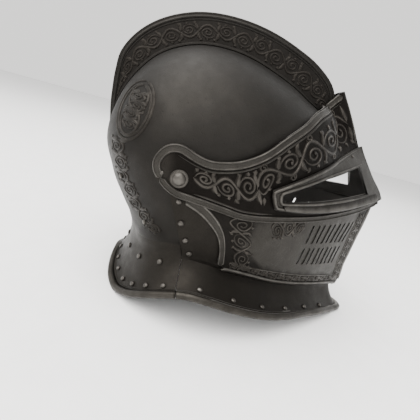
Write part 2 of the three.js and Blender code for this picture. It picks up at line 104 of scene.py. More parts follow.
# Distance of each plate's middle line from the pivot, by angle above forward.
dome_radius = curve_through([(-90, 150), (-30, 152), (0, 154), (14, 154), (26, 141), (45, 126), (65, 118),
                             (80, 113.5), (100, 106), (115, 98), (137, 88), (160, 81), (181, 73),
                             (200, 71.5), (217, 75), (228, 84), (240, 108), (250, 126), (270, 150)])
comb_radius = curve_through([(8, 154), (18, 168), (25, 173), (34, 168.5), (43, 161.5), (55, 154.5),
                             (66, 149.5), (86, 142.5), (103, 135), (118, 123.5), (125, 113), (135, 100),
                             (150, 87), (166, 79)])
visor_radius = curve_through([(-90, 232), (-40, 232), (-20, 230), (-13, 228), (-5, 207), (3, 192.6),
                              (9, 187.8), (15, 184.6), (22, 183), (180, 183), (240, 232), (270, 232)])
ventail_radius = curve_through([(-90, 238), (-40, 238), (-33, 228), (-23, 222), (-14, 221.5),
                                (180, 221.5), (240, 238), (270, 238)])
beak_pinch = curve_through([(0, 1), (20, 2.2)])


def dome(distance, angle, offset):
    share = distance / (dome_radius(angle) + offset)
    return 0 if share >= 1 else (SKULL_HALF + offset) * (1 - share ** DOME_POWER) ** DOME_ROOT


def keel(distance, radius, half, pinch=1.0):
    return half * max(0, 1 - (distance / radius) ** 2) ** pinch


def comb_cheek(distance, angle):
    root = dome_radius(angle)
    top = max(comb_radius(angle), root + 1)
    share = min(1, max(0, (distance - root) / (top - root)))
    return COMB_ROOT + (COMB_TOP - COMB_ROOT) * share


def crown(distance, top, size):
    return math.sqrt(max(0, 1 - max(0, (distance - top + size) / size) ** 2))


def has_comb(angle):
    return 8 < angle < 166 and comb_radius(angle) > dome_radius(angle) + 1


class Skull:
    def edge(self, angle, offset):
        return (comb_radius(angle) if has_comb(angle) else dome_radius(angle)) + offset

    def fold(self, angle, offset):
        return dome_radius(angle) + offset

    def half(self, distance, angle, offset):
        round_part = dome(distance, angle, offset)
        if not has_comb(angle):
            return round_part
        top = self.edge(angle, offset)
        wall = max(CHEEK_LEAST, comb_cheek(distance, angle) + offset * CHEEK_GROWTH)
        cheek = wall * crown(distance, top, COMB_ROUND)
        return (round_part ** HOLLOW + cheek ** HOLLOW) ** (1 / HOLLOW)


class Visor:
    def edge(self, angle, offset):
        return visor_radius(angle) + KEEL_STRETCH * offset

    def fold(self, angle, offset):
        return min(dome_radius(angle) + VISOR_LEVEL + offset, self.edge(angle, offset) - BEAK_ROUND)

    def half(self, distance, angle, offset):
        top = self.edge(angle, offset)
        wall = keel(distance, top, SKULL_HALF + VISOR_LEVEL + offset, beak_pinch(angle))
        round_part = dome(distance, angle, VISOR_LEVEL + offset)
        if angle < BEAK_FROM:
            return max(wall, round_part)
        t = min(1, max(0, (angle - BEAK_FROM) / BEAK_BLEND))
        rise = t * t * (3 - 2 * t)
        cheek = rise * (comb_cheek(distance, angle) + BEAK_CLEARANCE + offset)
        cheek *= crown(distance, top, BEAK_ROUND)
        return (max(wall, round_part) ** HOLLOW + cheek ** HOLLOW) ** (1 / HOLLOW)


class KeeledPlate:
    def __init__(self, level, ridge_set):
        self.level = level
        self.ridge_set = ridge_set

    def edge(self, angle, offset):
        return ventail_radius(angle) - self.ridge_set + KEEL_STRETCH * offset

    def fold(self, angle, offset):
        return self.edge(angle, offset) * 0.7

    def half(self, distance, angle, offset):
        return keel(distance, self.edge(angle, offset), SKULL_HALF + self.level + offset)


SKULL = Skull()
VISOR = Visor()
VENTAIL = KeeledPlate(VENTAIL_LEVEL, 0)
BEVOR = KeeledPlate(BEVOR_LEVEL, 4.5)


def angle_of(fore, up):
    angle = math.degrees(math.atan2(up, fore))
    return angle + 360 if angle < -90 else angle


def on_plate(plate, level, fore, up, sign=-1):
    """Point of a plate's outside and the direction that it faces there."""
    def half_at(f, u):
        return plate.half(math.hypot(f, u), angle_of(f, u), level)
    step = 0.5
    slope_fore = (half_at(fore + step, up) - half_at(fore - step, up)) / (2 * step)
    slope_up = (half_at(fore, up + step) - half_at(fore, up - step)) / (2 * step)
    point = Vector((sign * half_at(fore, up), -fore, up))
    return point, Vector((sign, slope_fore, -slope_up)).normalized()


# ---- handling of pieces ----
def clear_selection():
    for other in bpy.context.selected_objects:
        other.select_set(False)


def take(*pieces):
    clear_selection()
    for piece in pieces:
        piece.select_set(True)
    bpy.context.view_layer.objects.active = pieces[0]


def newest(name):
    piece = bpy.context.object
    piece.name = name
    piece.data.name = name
    return piece


def shape(piece, points):
    piece.data.vertices.foreach_set("co", [c for p in points for c in p])
    piece.data.update()


def in_edit(piece, *steps):
    """Runs edit-mode steps on all of a piece."""
    take(piece)
    bpy.ops.object.mode_set(mode="EDIT")
    bpy.ops.mesh.select_all(action="SELECT")
    for step in steps:
        step()
    bpy.ops.object.mode_set(mode="OBJECT")


def mark(piece, name, values):
    """Gives a piece's vertices values that its finish reads."""
    layer = piece.data.attributes.new(name, "FLOAT", "POINT")
    layer.data.foreach_set("value", values)


def close():
    bpy.ops.mesh.remove_doubles(threshold=0.012)


def last_inside(near, far, steps, inside):
    """Furthest place from near towards far that is still inside."""
    for _ in range(steps):
        middle = (near + far) / 2
        if inside(middle):
            near = middle
        else:
            far = middle
    return near


def outward():
    bpy.ops.mesh.normals_make_consistent(inside=False)


def apply_modifier(piece, kind, **settings):
    take(piece)
    modifier = piece.modifiers.new("step", kind)
    for key, value in settings.items():
        setattr(modifier, key, value)
    bpy.ops.object.modifier_apply(modifier=modifier.name)


def boolean(piece, tool, operation):
    apply_modifier(piece, "BOOLEAN", operation=operation, solver="MANIFOLD", object=tool)
    bpy.data.objects.remove(tool)


def twin(piece, name):
    take(piece)
    bpy.ops.object.duplicate()
    return newest(name)


def joined(pieces, name):
    take(*pieces)
    if len(pieces) > 1:
        bpy.ops.object.join()
    return newest(name)


# ---- plates ----
RAY_STEP = 2.0
RINGS_TO_FOLD = 20
RINGS_PAST_FOLD = 14
INNER_FINENESS = 0.8
FAR_OUT = 190


def body_of(plate, offset, name="body", fine=1.0):
    """Closed body of everything inside a plate's outer wall, moved out by offset."""
    to_fold = round(RINGS_TO_FOLD * fine)
    rings = to_fold + round(RINGS_PAST_FOLD * fine)
    segments = round(360 / RAY_STEP * fine)
    clear_selection()
    bpy.ops.mesh.primitive_uv_sphere_add(segments=segments, ring_count=2 * rings, radius=1, calc_uvs=False)
    piece = newest(name)
    rays = {}
    points = []
    for vertex in piece.data.vertices:
        ring = round(math.acos(max(-1, min(1, vertex.co.z))) / math.pi * 2 * rings)
        sign = 1 if ring <= rings else -1
        ring = ring if ring <= rings else 2 * rings - ring
        if ring == 0:
            points.append((sign * plate.half(0, 0, offset), 0, 0))
            continue
        key = round(math.atan2(vertex.co.y, vertex.co.x) / (2 * math.pi) * segments) % segments
        if key not in rays:
            angle = key * 360 / segments
            angle = angle - 360 if angle >= 270 else angle
            edge = plate.edge(angle, offset)
            rays[key] = (angle, edge, min(plate.fold(angle, offset), edge - LEAST_FOLD_GAP),
                         math.cos(math.radians(angle)), math.sin(math.radians(angle)))
        angle, edge, fold, fore, up = rays[key]
        if ring == rings:
            points.append((0, -edge * fore, edge * up))
            continue
        if ring <= to_fold:
            distance = fold * math.sin(ring / to_fold * math.pi / 2)
        else:
            distance = fold + (edge - fold) * math.sin((ring - to_fold) / (rings - to_fold) * math.pi / 2)
        half = max(LEAST_HALF, plate.half(distance, angle, offset))
        points.append((sign * half, -distance * fore, distance * up))
    shape(piece, points)
    in_edit(piece, outward)
    return piece


def softened(outline, steps=6, corner=38):
    """The same closed outline with its gentle turns rounded and its corners kept."""
    count = len(outline)
    points = [Vector(p) for p in outline]
    tangents = []
    for i, point in enumerate(points):
        before = point - points[i - 1]
        after = points[(i + 1) % count] - point
        far = max(abs(point.x), abs(point.y)) > FAR_OUT
        sharp = math.degrees(before.angle(after, 0)) > corner
        middle = (before.normalized() + after.normalized()).normalized()
        tangents.append(None if sharp or far else middle)
    smooth = []
    for i, start in enumerate(points):
        end = points[(i + 1) % count]
        chord = end - start
        smooth.append(tuple(start))
        if tangents[i] is None and tangents[(i + 1) % count] is None:
            continue
        lead = (tangents[i] or chord.normalized()) * chord.length
        tail = (tangents[(i + 1) % count] or chord.normalized()) * chord.length
        for k in range(1, steps):
            t = k / steps
            smooth.append(tuple(hermite(t, 1, start, end, lead, tail)))
    return smooth


def block(outline, name="block"):
    """Straight bar across the helmet with a side-view outline of (fore, up) points."""
    clear_selection()
    bpy.ops.mesh.primitive_circle_add(vertices=len(outline), radius=1, fill_type="NGON", calc_uvs=False)
    piece = newest(name)
    shape(piece, [(-REACH, -fore, up) for fore, up in outline])

    def draw_out():
        bpy.ops.mesh.extrude_region_move(TRANSFORM_OT_translate={"value": (2 * REACH, 0, 0)})
        bpy.ops.mesh.select_all(action="SELECT")
    in_edit(piece, draw_out, outward)
    return piece


def shell_of(plate, outline, name, outer=0.0, inner=-PLATE, fine=1.0):
    piece = body_of(plate, outer, name, fine)
    boolean(piece, body_of(plate, inner, fine=fine * INNER_FINENESS), "DIFFERENCE")
    boolean(piece, block(outline), "INTERSECT")
    return piece


SKULL_OUTLINE = [(156, 26), (130, 13), (100, 3), (70, -6), (45, -12), (28, -22), (16, -40), (10, -60),
                 (8, -80), (-27, -78), (-43, -78), (-56, -71), (-120, -60), (-120, 200), (200, 200),
                 (200, 40)]
# edges of the visor from behind its bolt to the peak, and to the prow's foot
TOP_EDGE = [(-17, -1), (-20.5, 7), (-20, 15), (-14, 23), (-6, 27), (4, 26), (15, 19), (24, 14.5), (33, 12.8),
            (50, 13.2), (69, 18.8), (87, 29), (109, 40.4), (116, 45), (124, 49.4), (135, 52.8),
            (146.5, 56), (153, 60.5), (159, 65), (163, 67.2)]
LOW_EDGE = [(-17, -1), (-11, -9), (-3, -15), (7, -19), (20, -24), (33, -29.5), (52, -37.5), (80, -43),
            (107, -47), (131, -50), (163, -52), (187, -53), (205, -53.3), (216, -53)]
VISOR_OUTLINE = (LOW_EDGE[3:0:-1] + TOP_EDGE[:-1]
                 + [(164, 68), (168, 69), (300, 110), (300, -53), (225, -53), (205, -53.5)]
                 + LOW_EDGE[11:3:-1])
VENTAIL_OUTLINE = [(-14, -2), (-10, -12), (0, -17.5), (14.6, -28), (24.6, -39.4), (31.6, -51.3),
                   (33.7, -65.8), (31.5, -80), (39, -89.6), (62.4, -100.8), (89.6, -115), (128, -130.3),
                   (162, -143), (181, -153), (300, -190), (300, -49), (205, -49), (187, -47), (163, -44),
                   (131, -41), (107, -38), (80, -34), (52, -27), (33, -18), (22, -8), (15, 4), (8, 13),
                   (-5, 14), (-13, 7)]
BEVOR_OUTLINE = [(-12, -5), (-8.7, -12.1), (-5.7, -30.8), (-1.2, -59.2), (0.3, -71.9), (0, -76),
                 (20, -84), (45, -98.5), (70, -111), (98, -125), (125, -135), (150, -145), (178, -157),
                 (300, -200), (300, -118), (150, -110), (110, -101), (80, -82), (55, -52), (30, -22),
                 (14, 2), (0, 14), (-12, 8)]
FRAME_OUTLINE = [(77.4, -12.3), (124.5, -1.5), (192, 12), (300, 33), (300, -48), (219, -48), (186, -46.1),
                 (145, -43), (114, -38.5), (80.2, -30.3)]
EYE_OPENING = [(86.9, -17.5), (127.9, -11.4), (188.2, -6.8), (195.8, -35.5), (147.4, -31.8),
               (121.7, -29.6), (105.4, -27.4), (87.3, -24.6)]
# upper and lower end of the rearmost and foremost breath slot of each row
SLOT_ROWS = [((127, -56), (120, -75), (186, -67), (173.5, -89)),
             ((119.5, -79.5), (112, -96), (171.5, -93.5), (163.5, -113.5))]
SLOTS_A_ROW = 5
SLOT_WIDTH, SLOT_POINT = 2.2, 0.2
GROOVE_WIDTH = 3.8
GROOVE_DEPTH = 0.7
GROOVE_PLACES = (0.5, 1.5, 2.5, 3.5)
GROOVE_REGION = [(40, -30), (300, -30), (300, -160), (40, -160)]


def slot_blocks(positions, width):
    """One tool of straight slots: positions count from 0, the rearmost, to 4, the foremost."""
    blocks = []
    for rear_top, rear_low, front_top, front_low in SLOT_ROWS:
        for position in positions:
            share = position / (SLOTS_A_ROW - 1)
            top = Vector(rear_top).lerp(Vector(front_top), share)
            low = Vector(rear_low).lerp(Vector(front_low), share)
            along = (top - low).normalized()
            across = Vector((-along.y, along.x)) * width / 2
            outline = [top + across - along, top + along * SLOT_POINT, top - across - along,
                       low - across + along, low - along * SLOT_POINT, low + across + along]
            blocks.append(block([tuple(p) for p in outline]))
    return joined(blocks, "slots")


# ---- gorget ----
# Half of each line from the middle of the back to the middle of the front: (fore, side, up).
NECK_REAR = [(-57, 0, -63), (-56, 22, -66), (-52.5, 43, -69), (-44, 63, -71), (-28, 81.5, -71.5),
             (-5, 90, -73), (30, 92, -85), (100, 60, -118), (170, 0, -150)]
NECK_FRONT = [(-60, 0, -70), (-50, 50, -70), (-28, 84, -71), (-5, 92, -74), (20, 88.8, -82.5),
              (45, 80.8, -97), (70, 70.5, -109.5), (98, 55.5, -123.5), (125, 39.2, -133.5),
              (150, 21.2, -143.5), (174, 0, -154)]
RIM = [(-77, 0, -99), (-78, 27, -105), (-75, 50, -111), (-67, 69, -115), (-54, 85, -112.5),
       (-39, 97.5, -107.5), (-20, 108.5, -102), (2, 116.5, -99), (22, 117.5, -105), (44, 113, -116),
       (72, 102, -130), (100, 84, -143), (125, 64, -153.5), (150, 42, -165), (170, 21, -175.5),
       (187, 0, -183.5)]
SEAM = [(1, -66), (0, -76), (-3, -88), (-5, -96), (-5, -200)]
SEAM_GAP = 0.5
FRONT_REGION = [(-1.4, -54), (-0.4, -62)] + SEAM[1:] + [(REACH, -200), (REACH, -54)]
REAR_REGION = ([(-3.2, -48), (-2.2, -57), (-1, -66)] + [(fore - SEAM_GAP, up) for fore, up in SEAM[1:]]
               + [(-REACH, -200), (-REACH, -48)])
# rise above the neck line and distance off the wall of the rows that run up onto the plate above
REAR_CLIMB = [(15, -0.7), (10, 0.1), (5, 1.0)]
FRONT_CLIMB = [(7, -0.6), (3, 0.1)]
REAR_AXIS, FRONT_AXIS = 10, 40
GORGET_COLUMNS = 240
SPREAD_POWER, DROP_POWER = 1.35, 1.3
# shares of the flange from neck to rim that are drawn, and how far each stands proud
SMOOTH_ROWS = (0, 0.08, 0.18, 0.28, 0.38, 0.48, 0.58, 0.66, 0.74, 0.8, 0.835)
FLANGE_ROWS = [(share, 0) for share in SMOOTH_ROWS] + [(0.85, 0.5), (0.87, 0.85), (0.89, 0.5),
                                                       (0.905, -0.25), (0.95, -0.3), (1, 0)]


class ClosedLine:
    """Closed curve through points, even along its length."""
    SAMPLES = 200

    def __init__(self, half_line):
        self.points = [Vector((side, -fore, up)) for fore, side, up in half_line]
        self.points += [Vector((-side, -fore, up)) for fore, side, up in half_line[-2:0:-1]]
        self.lengths = [0.0]
        last = self.raw(0)
        for i in range(1, self.SAMPLES + 1):
            point = self.raw(i / self.SAMPLES)
            self.lengths.append(self.lengths[-1] + (point - last).length)
            last = point

    def raw(self, t):
        count = len(self.points)
        place = count * t
        i = math.floor(place)
        weight = place - i
        p0, p1, p2, p3 = (self.points[(i + k) % count] for k in (-1, 0, 1, 2))
        d0 = max((p1 - p0).length ** 0.5, 1e-4)
        d1 = max((p2 - p1).length ** 0.5, 1e-4)
        d2 = max((p3 - p2).length ** 0.5, 1e-4)
        t1 = ((p1 - p0) / d0 - (p2 - p0) / (d0 + d1) + (p2 - p1) / d1) * d1
        t2 = ((p2 - p1) / d1 - (p3 - p1) / (d1 + d2) + (p3 - p2) / d2) * d1
        c2 = -3 * p1 + 3 * p2 - 2 * t1 - t2
        c3 = 2 * p1 - 2 * p2 + t1 + t2
        return p1 + t1 * weight + c2 * weight ** 2 + c3 * weight ** 3

    def at(self, turn):
        target = (turn % 1) * self.lengths[-1]
        i = max(0, bisect.bisect_right(self.lengths, target) - 1)
        i = min(i, self.SAMPLES - 1)
        span = self.lengths[i + 1] - self.lengths[i]
        return self.raw((i + (target - self.lengths[i]) / span) / self.SAMPLES)


rim_line = ClosedLine(RIM)
neck_rear_line = ClosedLine(NECK_REAR)
neck_front_line = ClosedLine(NECK_FRONT)


def flange_point(neck, turn, share):
    top = neck.at(turn)
    rim = rim_line.at(turn)
    spread = share ** SPREAD_POWER
    drop = 1 - (1 - share) ** DROP_POWER
    return Vector((top.x + (rim.x - top.x) * spread, top.y + (rim.y - top.y) * spread,
                   top.z + (rim.z - top.z) * drop))


def flange_normal(neck, turn, share):
    step = 0.004
    along = flange_point(neck, turn + step, share) - flange_point(neck, turn - step, share)
    down = flange_point(neck, turn, min(1, share + step)) - flange_point(neck, turn, max(0, share - step))
    normal = along.cross(down).normalized()
    return -normal if normal.z < 0 else normal


def wall_point(plate, level, axis, neck_point, up):
    """Where a level line from an upright axis through a neck point leaves a plate."""
    fore, side = -neck_point.y - axis, neck_point.x

    def inside(reach):
        here = axis + fore * reach
        return abs(side) * reach < plate.half(math.hypot(here, up), angle_of(here, up), level)
    reach = last_inside(0.2, 2.5, 22, inside)
    return Vector((side * reach, -(axis + fore * reach), up))


def torus_grid(sides, name):
    clear_selection()
    bpy.ops.mesh.primitive_torus_add(major_segments=GORGET_COLUMNS, minor_segments=sides,
                                     major_radius=100, minor_radius=10, generate_uvs=False)
    return newest(name)


def flange_body(neck, plate, climb, axis, name):
    piece = torus_grid(2 * (len(FLANGE_ROWS) + len(climb)), name)
    points = []
    for column in range(GORGET_COLUMNS):
        turn = column / GORGET_COLUMNS
        outer = []
        inner = []
        top = flange_point(neck, turn, 0)
        for rise, off in climb:
            outer.append(wall_point(plate, off, axis, top, top.z + rise))
            inner.append(wall_point(plate, off - FLANGE, axis, top, top.z + rise))
        for share, proud in FLANGE_ROWS:
            point = flange_point(neck, turn, share)
            normal = flange_normal(neck, turn, share)
            outer.append(point + normal * proud)
            inner.append(point - normal * FLANGE)
        points += outer + inner[::-1]
    shape(piece, points)
    in_edit(piece, outward)
    return piece


def rim_roll(name):
    sides = 16
    piece = torus_grid(sides, name)
    points = []
    for column in range(GORGET_COLUMNS):
        turn = column / GORGET_COLUMNS
        centre = rim_line.at(turn)
        along = (rim_line.at(turn + 0.002) - rim_line.at(turn - 0.002)).normalized()
        out = along.cross(Vector((0, 0, 1))).normalized()
        up = out.cross(along).normalized()
        for side in range(sides):
            angle = side / sides * 2 * math.pi
            points.append(centre + (out * math.cos(angle) + up * math.sin(angle)) * ROLL)
    shape(piece, points)
    # the roll's light tint is a painted highlight for overhead light, not wear
    mark(piece, "wear_and_sheen", [ROLL_SHEEN] * len(points))
    in_edit(piece, outward)
    return piece


# ---- raised lines ----
# across and out of each profile, as shares of a line's half width and height
ROUND_PROFILE = [(1.5, -0.3), (1.3, 0.08), (0.8, 0.3), (0.45, 0.9), (-0.45, 0.9), (-0.8, 0.3), (-1.3, 0.08),
                 (-1.5, -0.3)]
# painted shade: the foot rows of every raised line are darkened to stand in for crevice shade around it
FOOT_HEIGHT, FOOT_SHADE = 0.2, 0.9
END_WIDTH = 0.05
BEAD_PROFILE = [(1, -0.6), (1, 0.2), (0.8, 0.8), (0.5, 1), (0.2, 0.75), (0, 0.25), (-0.2, 0.2),
                (-0.45, 0.75), (-0.7, 0.9), (-1, 0.4), (-1, -0.6)]
MOULDING_PROFILE = [(1, -0.6), (1, 0.5), (0.85, 0.95), (0.66, 0.95), (0.5, 0.45), (0.2, 0.34), (-0.2, 0.34),
                    (-0.5, 0.45), (-0.66, 0.95), (-0.85, 0.95), (-1, 0.5), (-1, -0.6)]
SILL_PROFILE = [(1, -0.5), (1, 0.05), (-0.5, 1), (-0.85, 0.95), (-1, 0.5), (-1, -0.5)]
LIP_PROFILE = [(1, -0.5), (1, 0.4), (0.72, 0.85), (0.3, 1), (-0.2, 0.92), (-0.7, 0.55), (-1, 0.1), (-1, -0.5)]


def smooth_path(points, spacing=2.5):
    """Points spaced evenly on a smooth curve through the given ones."""
    knots = [Vector(p) for p in points]
    lengths = [0.0]
    for a, b in zip(knots, knots[1:]):
        lengths.append(lengths[-1] + (b - a).length)
    lines = [curve_like(lengths, [k[axis] for k in knots]) for axis in range(len(knots[0]))]
    count = max(2, round(lengths[-1] / spacing))
    return [tuple(line(lengths[-1] * i / count) for line in lines) for i in range(count + 1)]


def curve_like(xs, ys):
    """Catmull-Rom value through unevenly spaced samples."""
    tangent = []
    for i in range(len(xs)):
        a, b = max(0, i - 1), min(len(xs) - 1, i + 1)
        tangent.append((ys[b] - ys[a]) / (xs[b] - xs[a]))

    def value(x):
        i = min(max(0, bisect.bisect_right(xs, x) - 1), len(xs) - 2)
        h = xs[i + 1] - xs[i]
        t = (x - xs[i]) / h
        return hermite(t, h, ys[i], ys[i + 1], tangent[i], tangent[i + 1])
    return value


def whole(share):
    return 1.0


def pointed(share):
    return min(1, 6 * min(share, 1 - share) + 0.06)


def curling(share):
    """Width of a scroll: thin root, even stem and a round drop at the end."""
    return min(1, 0.35 + 4 * share) * (0.8 if share < 0.9 else 1.25)


def leafy(share):
    return 0.12 + 1.7 * math.sin(math.pi * min(1, share * 1.02) ** 0.75) ** 0.8


def raised_line(plate, level, path, half_width, height, profile=ROUND_PROFILE, taper=pointed, shine=1.0):
    """Raised line along (fore, up) points of the right half of a plate."""
    ring = profile + [profile[0]]
    clear_selection()
    bpy.ops.mesh.primitive_grid_add(x_subdivisions=len(path) - 1, y_subdivisions=len(ring) - 1, size=1,
                                    calc_uvs=False)
    piece = bpy.context.object
    rows = []
    places = [on_plate(plate, level, fore, up) for fore, up in path]
    last = len(places) - 1
    for i, (point, normal) in enumerate(places):
        along = (places[min(last, i + 1)][0] - places[max(0, i - 1)][0]).normalized()
        across = normal.cross(along).normalized()
        share = i / last
        width = (half_width(share) if callable(half_width) else half_width) * taper(share)
        lift = height * min(1, 0.35 + 0.65 * taper(share))
        if i in (0, last):
            width *= END_WIDTH
        rows.append([point + across * a * width + normal * o * lift for a, o in ring])
    shape(piece, [rows[i][j] for j in range(len(ring)) for i in range(len(rows))])
    mark(piece, "wear_and_sheen", [shine * max(0, out) for _, out in ring for _ in rows])
    # painted shade at the line's foot, carried in the same mark as the dark etched ground
    mark(piece, "ground_and_shade", [FOOT_SHADE if out < FOOT_HEIGHT else 0 for _, out in ring for _ in rows])
    return piece


def finish_lines(lines, name):
    """Joins raised lines of the right half into one piece and mirrors it to the left."""
    piece = joined(lines, name)
    in_edit(piece, close, outward)
    apply_modifier(piece, "MIRROR", use_axis=(True, False, False), use_mirror_merge=False)
    return piece


def ridge_strip(plate, level, angles, half_span, profile, name, height=1.0):
    """Raised strip that hugs a plate's middle ridge between two angles."""
    ring = profile + [profile[0]]
    count = len(angles) - 1
    clear_selection()
    bpy.ops.mesh.primitive_grid_add(x_subdivisions=count, y_subdivisions=len(ring) - 1, size=1,
                                    calc_uvs=False)
    piece = newest(name)
    rows = []
    for i, angle in enumerate(angles):
        fore, up = math.cos(math.radians(angle)), math.sin(math.radians(angle))
        edge = plate.edge(angle, level)
        width = half_span * (END_WIDTH if i in (0, count) else 1)
        row = []
        for a, o in ring:
            side = abs(a) * width
            near = last_inside(edge - 60, edge, 24, lambda reach: plate.half(reach, angle, level) > side)
            radial = Vector((0, -fore, up))
            point = Vector((math.copysign(side, a), -near * fore, near * up))
            sign = 1 if a >= 0 else -1
            normal = on_plate(plate, level, (near - 0.3) * fore, (near - 0.3) * up, sign)[1]
            share = min(1, abs(a) * 1.6)
            normal = (radial * (1 - share) + normal * share).normalized()
            row.append(point + normal * o * height)
        rows.append(row)
    shape(piece, [rows[i][j] for j in range(len(ring)) for i in range(len(rows))])
    mark(piece, "wear_and_sheen", [max(0, out) for _, out in ring for _ in rows])
    in_edit(piece, close, outward)
    return piece


# ---- scrollwork ----
# places in a bay are shares of its length, heights are shares of the band's half width
SCROLL_WIND, SCROLL_EASE = 0.86, 0.85
SCROLL_TURNS = 1.75
SCROLL_CENTRE = (0.52, 0.16)
SCROLL_REACH = (0.42, 0.62)
SCROLL_START = (0.02, 0.05)
STEM_STEPS = 9
SMALL_LEAVES = ((-0.3, -0.16), (0.05, 0.02), (0.34, 0.18))
LEAF_ROOT, LEAF_TIP = 0.72, 0.97
LONG_LEAF_ROOT, LONG_LEAF_TIP = 0.1, 0.9
LONG_LEAF_LEAN, LONG_LEAF_BEND = 0.13, 0.12


def even_points(points, count=60):
    """Evenly spaced points along a line."""
    path = smooth_path(points, 1.0)
    lengths = [0.0]
    for a, b in zip(path, path[1:]):
        lengths.append(lengths[-1] + math.dist(a, b))
    result = []
    for k in range(count + 1):
        target = lengths[-1] * k / count
        i = min(max(0, bisect.bisect_right(lengths, target) - 1), len(path) - 2)
        t = (target - lengths[i]) / max(1e-6, lengths[i + 1] - lengths[i])
        result.append(Vector(path[i]).lerp(Vector(path[i + 1]), min(1, t)))
    return result


class Band:
    """Strip between two lines of (fore, up) points, addressed by share along and height across."""
    def __init__(self, low, high):
        self.low = even_points(low)
        self.high = even_points(high)

    def at(self, share, across):
        place = min(1, max(0, share)) * (len(self.low) - 1)
        i = min(int(place), len(self.low) - 2)
        t = place - i
        a = self.low[i].lerp(self.low[i + 1], t)
        b = self.high[i].lerp(self.high[i + 1], t)
        return tuple(a.lerp(b, (across + 1) / 2))


def spiral(band, centre, reach, first_angle, turns, lead=None, steps=34):
    """Scroll that winds inward; centre and reach are in shares along and across the band."""
    points = [lead] if lead else []
    for k in range(steps + 1):
        t = k / steps
        angle = first_angle + turns * 2 * math.pi * t
        size = 1 - SCROLL_WIND * t ** SCROLL_EASE
        points.append((centre[0] + reach[0] * size * math.cos(angle),
                       centre[1] + reach[1] * size * math.sin(angle)))
    return [band.at(s, v) for s, v in points]


def scrollwork(band, bays, first_side=1, stem_swing=0.62):
    """A waving stem with a scroll in each bay and leaves where it crosses over."""
    lines = []
    bay = 1 / bays
    stem = [band.at(k / (bays * STEM_STEPS), stem_swing * first_side * math.sin(math.pi * k / STEM_STEPS))
            for k in range(bays * STEM_STEPS + 1)]
    lines.append((stem, 1.0, whole))
    for i in range(bays):
        side = first_side * (1 if i % 2 == 0 else -1)
        centre = ((i + SCROLL_CENTRE[0]) * bay, -side * SCROLL_CENTRE[1])
        reach = (SCROLL_REACH[0] * bay, SCROLL_REACH[1])
        start = (i * bay + SCROLL_START[0] * bay, SCROLL_START[1] * side)
        lines.append((spiral(band, centre, reach, math.pi, side * SCROLL_TURNS, start), 0.95, curling))
        for k, lean in SMALL_LEAVES:
            root = (centre[0] + k * bay, -side * LEAF_ROOT)
            tip = (centre[0] + (k + lean) * bay, -side * LEAF_TIP)
            lines.append(([band.at(root[0] + (tip[0] - root[0]) * t, root[1] + (tip[1] - root[1]) * t)
                           for t in (0, 0.3, 0.6, 1)], 0.9, leafy))
        for up_side in (1, -1):
            base = ((i + 1) * bay, LONG_LEAF_ROOT * up_side)
            tip = ((i + 1) * bay + LONG_LEAF_LEAN * bay * up_side * side, LONG_LEAF_TIP * up_side)
            bend = (base[0] + LONG_LEAF_BEND * bay * side, (base[1] + tip[1]) / 2)
            leaf = []
            for t in (0, 0.17, 0.33, 0.5, 0.67, 0.83, 1):
                s = (1 - t) ** 2 * base[0] + 2 * t * (1 - t) * bend[0] + t * t * tip[0]
                v = (1 - t) ** 2 * base[1] + 2 * t * (1 - t) * bend[1] + t * t * tip[1]
                leaf.append(band.at(s, v))
            lines.append((leaf, 0.95, leafy))
    return lines


def carve(plate, level, lines, half_width, height, shine):
    return [raised_line(plate, level, path, half_width * scale, height, taper=taper, shine=shine)
            for path, scale, taper in lines]


def inset(points, distance):
    """The same line moved sideways, to the right of its run."""
    path = [Vector(p) for p in smooth_path(points)]
    moved = []
    for i, point in enumerate(path):
        along = (path[min(len(path) - 1, i + 1)] - path[max(0, i - 1)]).normalized()
        moved.append((point.x + along.y * distance, point.y - along.x * distance))
    return moved


def ring_line(fore, up, radius, squash, lean, steps=22):
    """Round or oval line about a point."""
    points = []
    for k in range(steps + 1):
        angle = 2 * math.pi * k / steps
        x, y = radius * math.cos(angle), radius * squash * math.sin(angle)
        points.append((fore + x * math.cos(lean) - y * math.sin(lean),
                       up + x * math.sin(lean) + y * math.cos(lean)))
    return points


# ---- finishes ----
class Value:
    """A shader socket that sums can be written with."""
    def __init__(self, finish, socket):
        self.finish = finish
        self.socket = socket

    def __add__(self, other): return self.finish.maths("ADD", self, other)
    __radd__ = __add__
    def __sub__(self, other): return self.finish.maths("SUBTRACT", self, other)
    def __rsub__(self, other): return self.finish.maths("SUBTRACT", other, self)
    def __mul__(self, other): return self.finish.maths("MULTIPLY", self, other)
    __rmul__ = __mul__


